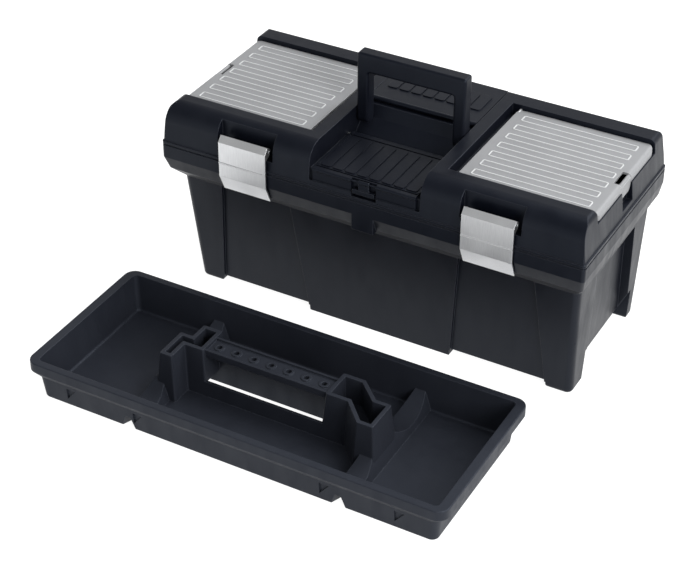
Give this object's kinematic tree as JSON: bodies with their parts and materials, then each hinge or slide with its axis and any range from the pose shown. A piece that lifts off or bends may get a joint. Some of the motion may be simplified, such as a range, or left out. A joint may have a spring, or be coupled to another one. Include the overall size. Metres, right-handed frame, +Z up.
{
  "type": "tool box with tote tray",
  "caption": "Black plastic tool box with hinged lid, metal latches, folding handle, clear-covered organisers and compartments in the lid, and a lift-out tote tray beside it.",
  "frame": {"origin": "middle of the flat underside of the box, on the floor", "axes": "+X along the box to its right, +Y to the hinge side, +Z up"},
  "size_m": [0.5465, 0.4999, 0.3214],
  "materials": {
    "box_plastic": "fine matte moulded grain",
    "tray_plastic": "fine matte moulded grain",
    "frosted_cover": "frosted translucent",
    "latch_aluminium": "satin sheet",
    "pin_steel": "drawn wire"
  },
  "bodies": {
    "tub": {"base_tub": "box_plastic", "rear_hinge_pin_left": "pin_steel", "rear_hinge_pin_right": "pin_steel"},
    "lid": {"lid_shell": "box_plastic", "latch_pin_left": "pin_steel", "latch_pin_right": "pin_steel", "handle_pivot_pin_left": "pin_steel", "handle_pivot_pin_right": "pin_steel", "front_lid_hinge_rod": "pin_steel", "back_lid_hinge_rod": "pin_steel"},
    "latch_left_body": {"latch_left": "latch_aluminium"},
    "latch_right_body": {"latch_right": "latch_aluminium"},
    "handle_body": {"handle": "box_plastic"},
    "cover_left_body": {"organiser_cover_left": "frosted_cover", "cover_clip_pin_left": "frosted_cover"},
    "cover_right_body": {"organiser_cover_right": "frosted_cover", "cover_clip_pin_right": "frosted_cover"},
    "cover_clip_left_body": {"cover_clip_left": "frosted_cover"},
    "cover_clip_right_body": {"cover_clip_right": "frosted_cover"},
    "front_lid_body": {"front_compartment_lid": "box_plastic", "front_clip_pin": "box_plastic"},
    "front_clip_body": {"front_lid_clip": "box_plastic"},
    "back_lid_body": {"back_compartment_lid": "box_plastic"},
    "tray_body": {"tote_tray": "tray_plastic"}
  },
  "joints": [
    {"name": "lid_hinge", "type": "hinge", "parent": "tub", "child": "lid", "pos_m": [0, 0.1233, 0.204], "axis": [-1, 0, 0], "range_deg": [0, 100]},
    {"name": "latch_left_swing", "type": "hinge", "parent": "lid", "child": "latch_left_body", "pos_m": [-0.1515, -0.1125, 0.23], "axis": [-1, 0, 0], "range_deg": [0, 110]},
    {"name": "latch_right_swing", "type": "hinge", "parent": "lid", "child": "latch_right_body", "pos_m": [0.1515, -0.1125, 0.23], "axis": [-1, 0, 0], "range_deg": [0, 110]},
    {"name": "handle_fold", "type": "hinge", "parent": "lid", "child": "handle_body", "pos_m": [0, 0, 0.24], "axis": [-1, 0, 0], "range_deg": [-90, 0]},
    {"name": "cover_left_hinge", "type": "hinge", "parent": "lid", "child": "cover_left_body", "pos_m": [-0.0945, 0.004, 0.2445], "axis": [0, 1, 0], "range_deg": [0, 100]},
    {"name": "cover_right_hinge", "type": "hinge", "parent": "lid", "child": "cover_right_body", "pos_m": [0.0945, 0.004, 0.2445], "axis": [0, -1, 0], "range_deg": [0, 100]},
    {"name": "cover_clip_left_swing", "type": "hinge", "parent": "cover_left_body", "child": "cover_clip_left_body", "pos_m": [-0.2533, 0.004, 0.2426], "axis": [0, 1, 0], "range_deg": [0, 70]},
    {"name": "cover_clip_right_swing", "type": "hinge", "parent": "cover_right_body", "child": "cover_clip_right_body", "pos_m": [0.2533, 0.004, 0.2426], "axis": [0, -1, 0], "range_deg": [0, 70]},
    {"name": "front_lid_hinge", "type": "hinge", "parent": "lid", "child": "front_lid_body", "pos_m": [0, -0.025, 0.2255], "axis": [-1, 0, 0], "range_deg": [0, 75]},
    {"name": "front_clip_swing", "type": "hinge", "parent": "front_lid_body", "child": "front_clip_body", "pos_m": [0, -0.11435, 0.2267], "axis": [-1, 0, 0], "range_deg": [0, 90]},
    {"name": "back_lid_hinge", "type": "hinge", "parent": "lid", "child": "back_lid_body", "pos_m": [0, 0.025, 0.2494], "axis": [1, 0, 0], "range_deg": [0, 85]},
    {"name": "tray_lift", "type": "slide", "parent": "tub", "child": "tray_body", "axis": [0, 0, 1], "range_m": [0, 0.3]}
  ]
}
